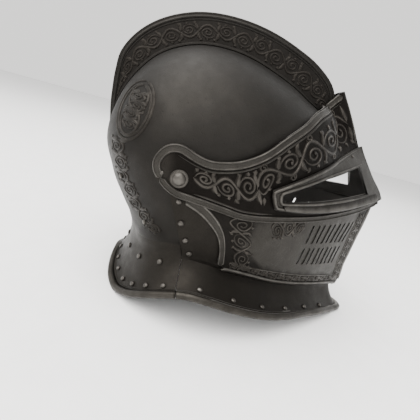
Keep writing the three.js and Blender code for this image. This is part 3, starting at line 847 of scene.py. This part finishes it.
class Finish:
    def __init__(self, name):
        self.material = bpy.data.materials.new(name)
        self.material.use_nodes = True
        self.tree = self.material.node_tree
        self.shader = self.tree.nodes["Principled BSDF"]

    def node(self, kind, settings=None, sockets=None, out=0):
        made = self.tree.nodes.new(kind)
        for key, value in (settings or {}).items():
            setattr(made, key, value)
        for key, value in (sockets or {}).items():
            self.feed(made.inputs[key], value)
        return Value(self, made.outputs[out])

    def feed(self, socket, value):
        if isinstance(value, Value):
            self.tree.links.new(value.socket, socket)
        else:
            socket.default_value = value

    def maths(self, operation, a, b):
        return self.node("ShaderNodeMath", {"operation": operation}, {0: a, 1: b})

    def mixed(self, share, a, b):
        return self.node("ShaderNodeMix", {"data_type": "RGBA"}, {0: share, 6: a, 7: b}, out=2)

    def ramp(self, value, low, high):
        return self.node("ShaderNodeMapRange", {"clamp": True}, {0: value, 1: low, 2: high})

    def noise(self, scale, detail=3.0, rough=0.55, stretch=(1, 1, 1), turn=(0, 0, 0)):
        where = self.node("ShaderNodeTexCoord", out=3)
        laid = self.node("ShaderNodeMapping", None, {"Vector": where, "Scale": stretch, "Rotation": turn})
        return self.node("ShaderNodeTexNoise", None,
                         {"Vector": laid, "Scale": scale, "Detail": detail, "Roughness": rough})

    def mark(self, name):
        return self.node("ShaderNodeAttribute", {"attribute_name": name}, out=2)

    def put(self, **sockets):
        for key, value in sockets.items():
            self.feed(self.shader.inputs[key.replace("_", " ")], value)


def tone(red, green, blue):
    return (red, green, blue, 1.0)


def steel(name, body, dark, light, rough, bump):
    """Blackened steel: cloudy tone, fine pits, hair scratches and edges rubbed bright, with a painted
    highlight on the rolled rim, painted shade at the feet of raised lines and painted light on inner walls.
    """
    finish = Finish(name)
    cloud = finish.ramp(finish.noise(26, 5, 0.62), 0.32, 0.68)
    patches = finish.ramp(finish.noise(95, 4, 0.6), 0.38, 0.7)
    grain = finish.noise(1500, 2, 0.6)
    pits = finish.ramp(finish.noise(620, 2, 0.5), 0.62, 0.76)
    hair = finish.ramp(finish.noise(260, 4, 0.7, (1, 9, 1), (0.5, 0.3, 0.2)), 0.6, 0.82)
    cross_hair = finish.ramp(finish.noise(210, 4, 0.7, (1, 1, 10), (0.2, 0.6, 0.9)), 0.62, 0.84)
    wear_and_sheen = finish.mark("wear_and_sheen")
    ground_and_shade = finish.mark("ground_and_shade")
    # lighter where the mark is set: worn tops of raised lines and rivets, and a painted highlight on the
    # rolled rim
    edge = finish.ramp(wear_and_sheen * (0.72 + patches * 0.4), 0.42, 1.0)
    base = finish.mixed(cloud * 0.5 + patches * 0.3 + 0.15, dark, body)
    base = finish.mixed(finish.ramp(grain, 0.35, 0.7) * 0.22, base, light)
    base = finish.mixed(hair * 0.3 + cross_hair * 0.25, base, light)
    base = finish.mixed(edge, base, light)
    base = finish.mixed(pits * 0.6, base, dark)
    # dark etched ground, and painted crevice shade at the feet of raised lines
    base = finish.mixed(ground_and_shade * 0.9, base, GROUND_AND_SHADE)
    # painted light: inner walls take a much lighter tone, partly the bare steel of the inside and partly
    # standing in for light inside the helmet
    base = finish.mixed(finish.mark("inner"), base, INNER_BARE_AND_LIT)
    level = finish.ramp(grain, 0.2, 0.8) * 0.1 + cloud * 0.08 + rough[0]
    gloss = level + (rough[1] - rough[0]) * (1 - patches) * 0.5 - edge * 0.08 + ground_and_shade * 0.16
    relief = grain * 0.3 - pits * 0.9 - hair * 0.35 - cross_hair * 0.3 + cloud * 0.4
    surface = finish.node("ShaderNodeBump", None,
                          {"Strength": bump, "Distance": RELIEF_DEPTH, "Height": relief})
    finish.put(Base_Color=base, Roughness=gloss, Metallic=METAL, Normal=surface)
    return finish.material


METAL = 0.9
RELIEF_DEPTH = 0.0005
# painted light of the inner walls: a bare-steel grey about ten times lighter than the outside
INNER_BARE_AND_LIT = tone(0.13, 0.125, 0.118)
# near-black of the etched ground, also used as painted shade at the feet of raised lines
GROUND_AND_SHADE = tone(0.0036, 0.0027, 0.002)
# body, dark and light tone, roughness range and bump of each steel
STEELS = {
    "dome_steel": ((0.0126, 0.01148, 0.01019), (0.00756, 0.00672, 0.005712), (0.0276, 0.0258, 0.0231),
                   (0.36, 0.52), 0.25),
    "etched_steel": ((0.0126, 0.01092, 0.00918), (0.0057, 0.00468, 0.00372), (0.0527, 0.0476, 0.04165),
                     (0.36, 0.58), 0.35),
    "gorget_steel": ((0.0117, 0.01008, 0.00822), (0.00648, 0.0054, 0.00426), (0.0406, 0.0371, 0.0322),
                     (0.38, 0.56), 0.25),
    "worn_steel": ((0.02516, 0.02331, 0.02057), (0.01221, 0.01088, 0.00925), (0.0833, 0.0782, 0.07055),
                   (0.34, 0.52), 0.45),
    "rivet_steel": ((0.0272, 0.0248, 0.022), (0.0136, 0.012, 0.01016), (0.08075, 0.07505, 0.06745),
                    (0.3, 0.46), 0.3)}
FINISHES = {name: steel(name, tone(*body), tone(*dark), tone(*light), rough, bump)
            for name, (body, dark, light, rough, bump) in STEELS.items()}

INNER_AIM = (0, -40, -20)
INNER_FACING = -0.6


def keep(piece, body, slot, *nodes, smooth=32.0):
    """Stands a finished piece in the helmet: place in its mesh, finish, body, slot and CAD nodes."""
    piece.data.transform(STAND)
    piece.data.materials.clear()
    piece.data.materials.append(FINISHES[slot])
    take(piece)
    bpy.ops.object.shade_smooth_by_angle(angle=math.radians(smooth))
    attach(piece, body)
    if nodes:
        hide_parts(*nodes)
    return piece


def mark_inner(piece):
    """Marks the inner wall of a plate, where it faces the middle of the helmet, for a lighter bare-steel tone
    that is partly painted light standing in for light inside.
    """
    aim = Vector(INNER_AIM)
    mark(piece, "inner", [1.0 if v.normal.dot((v.co - aim).normalized()) < INNER_FACING else 0.0
                          for v in piece.data.vertices])


def mark_ground(piece, inside):
    """Marks where a plate is dark ground: inside(side, fore, up) gives 0 to 1."""
    mark(piece, "ground_and_shade", [inside(v.co.x, -v.co.y, v.co.z) for v in piece.data.vertices])


def clip_to_ground(piece):
    """Files the foot of a placed piece flat where it stands."""
    def cut():
        bpy.ops.mesh.bisect(plane_co=(0, 0, BOX_MARGIN / 1000), plane_no=(0, 0, 1), clear_inner=True,
                            use_fill=True)
    in_edit(piece, cut)


def keep_lines(lines, name, body, slot):
    return keep(finish_lines(lines, name), body, slot)


# ---- skull ----
COMB_FIRST, COMB_LAST = 14, 160
COMB_GROUND = 0.5
LINE_STEP = 2.0


def polar(distance, angle):
    return distance * math.cos(math.radians(angle)), distance * math.sin(math.radians(angle))


def soft_step(value, width):
    return max(0.0, min(1.0, value / width + 0.5))


strap_edge = curve_through([(-60, -8), (-44, -16), (-30, -22), (-10, -34), (14, -40), (34, -24),
                            (52, -12), (68, -20), (80, -42), (86, -60)])


def skull_ground(side, fore, up):
    """Dark ground of the comb's etched band, and the smoky patch under the straps."""
    smoke = 0.4 * soft_step(strap_edge(up) - fore, 8) * soft_step(84 - up, 8) * soft_step(up + 58, 8)
    angle = angle_of(fore, up)
    return max(smoke if not has_comb(angle) or abs(side) > 12 else 0, comb_field(side, fore, up))


def comb_field(side, fore, up):
    angle = angle_of(fore, up)
    if not COMB_FIRST - 4 < angle < COMB_LAST:
        return 0.0
    distance = math.hypot(fore, up)
    inside = min(distance - dome_radius(angle) - 1.5, comb_radius(angle) - 6.5 - distance)
    return max(0.0, min(COMB_GROUND, inside / 2)) if abs(side) > 1.5 else 0.0


skull = shell_of(SKULL, softened(SKULL_OUTLINE), "skull_plate", -0.05, fine=1.2)
mark_ground(skull, skull_ground)
mark_inner(skull)
keep(skull, "skull_body", "dome_steel", "skull")


def arc_line(radius, lift, first, last):
    """Line that stands lift out from a radius curve, a point about every two degrees."""
    count = int((last - first) / LINE_STEP)
    angles = [first + (last - first) * k / count for k in range(count + 1)]
    return [polar(radius(angle) + lift, angle) for angle in angles]


comb_edges = [raised_line(SKULL, 0, arc_line(comb_radius, -3.4, 12, 150), 2.6, 0.8, BEAD_PROFILE,
                          whole, 0.5),
              raised_line(SKULL, 0, arc_line(comb_radius, -7.6, 14, 140), 0.6, 0.5, shine=0.5),
              raised_line(SKULL, 0, arc_line(dome_radius, 1.6, 12, 152), 1.4, 1.0, shine=0.45)]
keep_lines(comb_edges, "comb_mouldings", "skull_body", "dome_steel")

comb_band = Band(arc_line(dome_radius, 4.2, 17, 134), arc_line(comb_radius, -9.0, 17, 134))
comb_scrolls = carve(SKULL, 0, scrollwork(comb_band, 15, 1, 0.6), 1.0, 0.55, 0.4)
keep_lines(comb_scrolls, "comb_scrolls", "skull_body", "etched_steel")

# interlaced straps behind the temple, and the scrolled chain that hangs from them
strap_band = Band([(-14, -48), (-26, -36), (-35, -20), (-41, -4), (-44, 12), (-42, 26)],
                  [(-22, -54), (-40, -44), (-52, -26), (-59, -8), (-63, 12), (-62, 30)])
knot_band = Band([(-36.3, 33.5), (-28.9, 47.9), (-23, 62.3)], [(-54, 41.7), (-47.1, 56.1), (-41, 69.5)])
straps = scrollwork(strap_band, 7, -1, 0.55) + scrollwork(knot_band, 4, 1, 0.6)
KNOT_FORE, KNOT_UP, KNOT_LEAN = -38, 52, 1.15
for size in (25.5, 22):
    straps.append((ring_line(KNOT_FORE, KNOT_UP, size, 0.62, KNOT_LEAN), 1.15, whole))
for lift in (-1, 1):
    straps.append((ring_line(KNOT_FORE + lift * 4, KNOT_UP + lift * 9, 11.5, 0.75, KNOT_LEAN), 1.0, whole))
keep_lines(carve(SKULL, 0, straps, 1.1, 0.7, 0.6), "skull_straps", "skull_body", "etched_steel")

# ---- gorget ----
rear = flange_body(neck_rear_line, SKULL, REAR_CLIMB, REAR_AXIS, "rear_gorget_plate")
boolean(rear, rim_roll("roll"), "UNION")
boolean(rear, block(REAR_REGION), "INTERSECT")
boolean(rear, body_of(SKULL, -1.5), "DIFFERENCE")
keep(rear, "skull_body", "gorget_steel", "rear_gorget")
clip_to_ground(rear)

bevor = shell_of(BEVOR, softened(BEVOR_OUTLINE), "bevor_plate")
front = flange_body(neck_front_line, BEVOR, FRONT_CLIMB, FRONT_AXIS, "front_flange")
boolean(front, rim_roll("roll"), "UNION")
boolean(front, block(FRONT_REGION), "INTERSECT")
boolean(bevor, front, "UNION")
hollow = body_of(BEVOR, -PLATE)
boolean(hollow, block(softened(BEVOR_OUTLINE)), "INTERSECT")
boolean(bevor, hollow, "DIFFERENCE")
mark_inner(bevor)
keep(bevor, "bevor_body", "gorget_steel", "bevor")
clip_to_ground(bevor)

# ---- ventail ----
LIP = [(35, -88.2), (42, -90.2), (62.4, -99.6), (89.6, -113.4), (128, -128.8), (162, -141.5), (180, -151)]
CRESCENT_OUTER = [(1, -18.6), (14.6, -29), (24, -40.2), (30.6, -52), (32.9, -65.8), (31.4, -84)]
CRESCENT_STEPS = 40
CRESCENT_INNER = [(10, -16), (18.8, -23), (28.8, -34.1), (35.9, -47.7), (38.3, -62), (37.6, -84)]
ventail = shell_of(VENTAIL, softened(VENTAIL_OUTLINE), "ventail_plate")
boolean(ventail, slot_blocks(range(SLOTS_A_ROW), SLOT_WIDTH), "DIFFERENCE")
grooves = shell_of(VENTAIL, GROOVE_REGION, "grooves", 3.0, -GROOVE_DEPTH)
boolean(grooves, slot_blocks(GROOVE_PLACES, GROOVE_WIDTH), "INTERSECT")
boolean(ventail, grooves, "DIFFERENCE")


def ventail_border(side, fore, up):
    """Dark ground of the foliage borders: behind the crescent, along the lip and beside the ridge."""
    lip = lip_height(fore)
    beside = ventail_radius(angle_of(fore, up)) - math.hypot(fore, up)
    behind = 62 + 9 * math.sin(up * 0.12) - fore
    return 0.9 * max(soft_step(behind, 4), soft_step(lip + 13 - up, 2), soft_step(19 - beside, 2))


lip_height = curve_through(LIP)
mark_ground(ventail, ventail_border)
mark_inner(ventail)
keep(ventail, "ventail_body", "worn_steel", "ventail")

crescent_sides = list(zip(even_points(CRESCENT_OUTER, CRESCENT_STEPS),
                          even_points(CRESCENT_INNER, CRESCENT_STEPS)))
crescent_middle = [tuple((a + b) / 2 for a, b in zip(p, q)) for p, q in crescent_sides]
crescent_half = [math.dist(p, q) / 2 for p, q in crescent_sides]


def raised(points, rise):
    return [(fore, up + rise) for fore, up in points]


def beside_ridge(gap, angles):
    return [polar(ventail_radius(angle) - gap, angle) for angle in angles]


ventail_edges = [raised_line(VENTAIL, 0, crescent_middle,
                             lambda share: crescent_half[round(share * CRESCENT_STEPS)], 1.0,
                             MOULDING_PROFILE, whole),
                 raised_line(VENTAIL, 0, smooth_path(LIP), 2.4, 1.6, LIP_PROFILE, whole),
                 raised_line(VENTAIL, 0, smooth_path([(42, -82)] + raised(LIP[3:], 12.2)), 0.7, 0.6),
                 raised_line(VENTAIL, 0, beside_ridge(19, range(-16, -41, -1)), 0.7, 0.6),
                 raised_line(VENTAIL, 0, beside_ridge(4.5, range(-14, -42, -1)), 0.8, 0.7)]
keep_lines(ventail_edges, "ventail_mouldings", "ventail_body", "worn_steel")

lip_band = Band(raised(LIP[1:], 3.0), raised(LIP[1:], 11.5))
ridge_band = Band(beside_ridge(18, range(-17, -40, -2)), beside_ridge(5.5, range(-17, -40, -2)))
rear_band = Band([(32, -31), (40.5, -47), (43, -62), (43, -83)], [(72, -40), (62, -52), (66, -68), (60, -92)])
top_band = Band([(82, -62), (100, -64), (112, -60)], [(78, -39), (98, -43), (120, -46)])
foliage = (scrollwork(lip_band, 14) + scrollwork(ridge_band, 8) + scrollwork(rear_band, 3, -1)
           + scrollwork(top_band, 3))
keep_lines(carve(VENTAIL, 0, foliage, 1.1, 0.7, 0.9), "ventail_foliage", "ventail_body", "etched_steel")

# ---- visor ----
visor = shell_of(VISOR, softened(VISOR_OUTLINE), "visor_plate", fine=1.2)
boolean(visor, block(EYE_OPENING), "DIFFERENCE")
mark_ground(visor, lambda side, fore, up: soft_step(fore + 6, 8))
mark_inner(visor)
keep(visor, "visor_body", "etched_steel", "visor")

frame_plate = shell_of(VISOR, FRAME_OUTLINE, "eye_frame_plate", FRAME_FACE, FRAME_FOOT, fine=1.2)
boolean(frame_plate, block(EYE_OPENING), "DIFFERENCE")
keep(frame_plate, "visor_body", "worn_steel", "eye_frame")

prow_line = [polar(visor_radius(half_step / 2) - 2.4, half_step / 2) for half_step in range(40, 6, -1)]
visor_edges = [raised_line(VISOR, 0, inset(TOP_EDGE, 3.4), 3.3, 1.3, MOULDING_PROFILE, whole, 0.75),
               raised_line(VISOR, 0, inset(TOP_EDGE[5:], 8.6), 0.8, 0.9, shine=0.6),
               raised_line(VISOR, 0, inset(LOW_EDGE, -3.0), 2.9, 1.4, MOULDING_PROFILE, whole, 0.75),
               raised_line(VISOR, 0, inset(LOW_EDGE[3:8], -7.6), 0.8, 0.9, shine=0.6),
               raised_line(VISOR, 0, prow_line, 1.0, 0.7)]
keep_lines(visor_edges, "visor_mouldings", "visor_body", "worn_steel")

FRAME_RIM = [(193.6, 10.1), (184, 8.6), (160, 3.6), (124.5, -3.6), (82, -13.4), (78.8, -15), (79.4, -20),
             (81.6, -28.2), (84, -29.6), (114, -36.8), (145, -41.2), (186, -44.4), (216, -46)]
EYE_RIM = [(196, -4.9), (188.2, -5), (180, -5.7), (158, -7.4), (127.9, -9.8), (88, -15.8), (85.4, -17.4),
           (85.4, -24.4), (87.6, -26), (105.4, -28.8), (121.7, -31), (147.4, -33.2), (180, -36), (196, -37.3)]
SILL = [(88, -27.6), (114, -33.4), (145, -37.4), (186, -40.4), (214, -42.6)]
frame_edges = [raised_line(VISOR, FRAME_FACE, smooth_path(FRAME_RIM), 1.5, 1.1),
               raised_line(VISOR, FRAME_FACE, smooth_path(EYE_RIM), 1.4, 1.3),
               raised_line(VISOR, FRAME_FACE, smooth_path(SILL), 4.2, 2.0, SILL_PROFILE, whole, 0.9)]
keep_lines(frame_edges, "frame_mouldings", "visor_body", "worn_steel")

RIDGE_PROFILE = [(1, -0.6), (1, 0.5), (0.8, 1), (0.55, 0.9), (0.42, 0.4), (0.3, 0.9), (0, 1.2), (-0.3, 0.9),
                 (-0.42, 0.4), (-0.55, 0.9), (-0.8, 1), (-1, 0.5), (-1, -0.6), (0, -1)]
RIDGE_ANGLES = [-14.5 - k * 0.8 for k in range(31)]
ventail_ridge = ridge_strip(VENTAIL, 0, RIDGE_ANGLES, 3.2, RIDGE_PROFILE, "ventail_ridge", 0.7)
keep(ventail_ridge, "ventail_body", "worn_steel")

visor_band = Band([(70, -28), (78, -10), (100, -4.5), (125, 1.5), (150, 6.5), (172, 11.5), (186, 15)],
                  [(56, 5), (70, 9), (88, 19.5), (110, 31), (126, 35), (146, 46), (161, 58)])
tail_band = Band([(10, -6), (24, -12), (38, -18), (52, -24), (68, -27)],
                 [(12, 9), (24, 5.5), (34, 4), (50, 4), (62, 6)])
visor_scrolls = scrollwork(visor_band, 5, 1, 0.66) + scrollwork(tail_band, 3, -1, 0.6)
# small curls between the scrolls: share along, height across, radius, first angle, turns
CURLS = ((0.1, 0.86, 3.6, 0, 1.4), (0.3, -0.84, 3.4, 90, -1.4), (0.5, 0.84, 3.8, 200, 1.4),
         (0.7, -0.82, 3.6, 90, 1.4), (0.9, 0.8, 4.2, 180, -1.5))
CURL_STEPS = 16
for share, across, radius, start, turns in CURLS:
    fore, up = visor_band.at(share, across)
    curl = []
    for k in range(CURL_STEPS + 1):
        angle = math.radians(start) + turns * 2 * math.pi * k / CURL_STEPS
        size = radius * (1 - 0.8 * k / CURL_STEPS)
        curl.append((fore + size * math.cos(angle), up + size * math.sin(angle)))
    visor_scrolls.append((curl, 0.9, curling))
keep_lines(carve(VISOR, 0, visor_scrolls, 1.5, 1.2, 0.95), "visor_scrolls", "visor_body", "etched_steel")


# ---- rivets and bolts ----
def dome_head(name, radius, height, sides=16):
    """Domed head standing on the XY plane, modelled once."""
    clear_selection()
    bpy.ops.mesh.primitive_cylinder_add(vertices=sides, radius=radius, depth=height * 0.4,
                                        location=(0, 0, height * 0.2))
    piece = newest(name)
    bpy.ops.object.transform_apply(location=True, rotation=True, scale=True)
    take(piece)
    bpy.ops.object.mode_set(mode="EDIT")
    bpy.ops.mesh.select_all(action="DESELECT")
    bpy.ops.object.mode_set(mode="OBJECT")
    for face in piece.data.polygons:
        face.select = face.normal.z > 0.9
    bpy.ops.object.mode_set(mode="EDIT")
    for draw_in, lift in ((0.16, 0.27), (0.2, 0.18), (0.26, 0.1), (0.2, 0.05)):
        bpy.ops.mesh.inset(thickness=radius * draw_in)
        bpy.ops.transform.translate(value=(0, 0, height * lift))
    bpy.ops.mesh.merge(type="CENTER")
    bpy.ops.object.mode_set(mode="OBJECT")
    mark(piece, "wear_and_sheen", [min(1, max(0, v.co.z / height)) for v in piece.data.vertices])
    return piece


def set_head(pattern, name, node, body, point, normal):
    """A copy of the pattern head on a plate, in place of its CAD node."""
    piece = twin(pattern, name)
    turn = Vector((0, 0, 1)).rotation_difference(normal)
    piece.data.transform(Matrix.Translation(point) @ turn.to_matrix().to_4x4())
    keep(piece, body, "rivet_steel", node)


RIVET_SEAT = 0.15
RIM_DEPTH, NECK_DEPTH = 0.74, 0.2
rivet = dome_head("rivet_pattern", 2.55, 1.85)
small_rivet = dome_head("small_rivet_pattern", 1.65, 1.15)
BEVOR_RIVETS = [(-0.7, -20.2), (0.2, -39.8), (3.4, -56.7), (6.2, -70.5)]
SKULL_RIVETS = [(-52.8, -4.5), (-32.5, -43.8)]
REAR_RIM = [0.035, 0.085, 0.135, 0.185, 0.235, 0.285, 0.335]
FRONT_RIM = [0.425, 0.515, 0.605, 0.695, 0.785, 0.875]
NECK_SHARES = [0.06, 0.14, 0.22, 0.3]


def seated(point, normal):
    return point + normal * RIVET_SEAT, normal


for label, sign in (("right", -1), ("left", 1)):
    set_head(small_rivet, f"visor_stud_{label}", f"visor_rivet_{label}", "visor_body",
             *seated(*on_plate(VISOR, 0, -13.3, 4.7, sign)))
    set_head(small_rivet, f"frame_stud_{label}", f"frame_rivet_{label}", "visor_body",
             *seated(*on_plate(VISOR, FRAME_FACE, 177, 4, sign)))
    for row, plate, body, spots in (("bevor", BEVOR, "bevor_body", BEVOR_RIVETS),
                                    ("skull", SKULL, "skull_body", SKULL_RIVETS)):
        for i, (fore, up) in enumerate(spots):
            set_head(rivet, f"{row}_stud_{label}_{i + 1}", f"{row}_rivet_{label}_{i + 1}", body,
                     *seated(*on_plate(plate, 0, fore, up, sign)))
    for shares, neck, depth, row, body in ((REAR_RIM, neck_rear_line, RIM_DEPTH, "rear_rim", "skull_body"),
                                           (FRONT_RIM, neck_front_line, RIM_DEPTH, "front_rim", "bevor_body"),
                                           (NECK_SHARES, neck_rear_line, NECK_DEPTH, "neck", "skull_body")):
        for i, share in enumerate(shares):
            turn = share / 2 if label == "left" else 1 - share / 2
            set_head(rivet, f"{row}_stud_{label}_{i + 1}", f"{row}_rivet_{label}_{i + 1}", body,
                     *seated(flange_point(neck, turn, depth), flange_normal(neck, turn, depth)))

BOLT_SEAT = SKULL_HALF + VISOR_LEVEL + 0.1
washer = dome_head("washer_pattern", 7.4, 1.7, 28)
ball = dome_head("ball_pattern", 5.6, 4.1, 12)
ball.data.transform(Matrix.Translation((0, 0, 0.55)))
pattern = joined([ball, washer], "bolt_pattern")
for label, sign in (("right", -1), ("left", 1)):
    head = twin(pattern, f"pivot_head_{label}")
    turn = Vector((0, 0, 1)).rotation_difference(Vector((sign, 0, 0)))
    head.data.transform(Matrix.Translation((sign * BOLT_SEAT, 0, 0)) @ turn.to_matrix().to_4x4())
    keep(head, "skull_body", "rivet_steel", f"pivot_bolt_{label}", smooth=24)
for spare in (rivet, small_rivet, pattern):
    bpy.data.objects.remove(spare)

# ---- floor, light and camera ----
clear_selection()
bpy.ops.mesh.primitive_plane_add(size=8)
floor = newest("floor")
floor_finish = Finish("floor_paint")
speckle = floor_finish.ramp(floor_finish.noise(40, 3), 0.3, 0.7)
floor_finish.put(Base_Color=floor_finish.mixed(speckle, tone(0.80, 0.80, 0.80), tone(0.83, 0.83, 0.83)),
                 Roughness=0.9)
floor.data.materials.append(floor_finish.material)

world = bpy.context.scene.world or bpy.data.worlds.new("studio")
bpy.context.scene.world = world
world.use_nodes = True
world.node_tree.nodes["Background"].inputs["Color"].default_value = (1.0, 0.99, 0.97, 1)
world.node_tree.nodes["Background"].inputs["Strength"].default_value = 1.4


def soft_light(name, place, aim, size, watts, tint=(1, 1, 1)):
    lamp = bpy.data.lights.new(name, "AREA")
    lamp.shape = "RECTANGLE"
    lamp.size, lamp.size_y = size
    lamp.energy = watts
    lamp.color = tint
    holder = bpy.data.objects.new(name, lamp)
    bpy.context.scene.collection.objects.link(holder)
    holder.location = place
    holder.rotation_euler = (Vector(aim) - Vector(place)).to_track_quat("-Z", "Y").to_euler()


HELMET_MIDDLE = (0, 0, 0.15)
soft_light("overhead", (-0.5, 0.6, 1.5), HELMET_MIDDLE, (2.2, 2.2), 120, (1, 0.985, 0.96))
soft_light("near_fill", (-1.5, -0.5, 0.7), HELMET_MIDDLE, (0.9, 0.7), 6)
soft_light("far_fill", (1.4, -0.3, 1.1), HELMET_MIDDLE, (1.0, 0.8), 9)

lens = bpy.data.cameras.new("camera")
lens.lens = 30
lens.sensor_width = 36
lens.clip_start = 0.01
camera = bpy.data.objects.new("camera", lens)
bpy.context.scene.collection.objects.link(camera)
bpy.context.scene.camera = camera
level_axes = Matrix(((-0.04105, 0.28459, -0.95777), (-0.99916, -0.01169, 0.03935), (0.0, 0.95858, 0.28483)))
camera.matrix_world = Matrix.Translation((-0.38006, 0.07398, 0.18756)) @ (
    Matrix.Rotation(-TILT, 3, "X") @ level_axes).to_4x4()
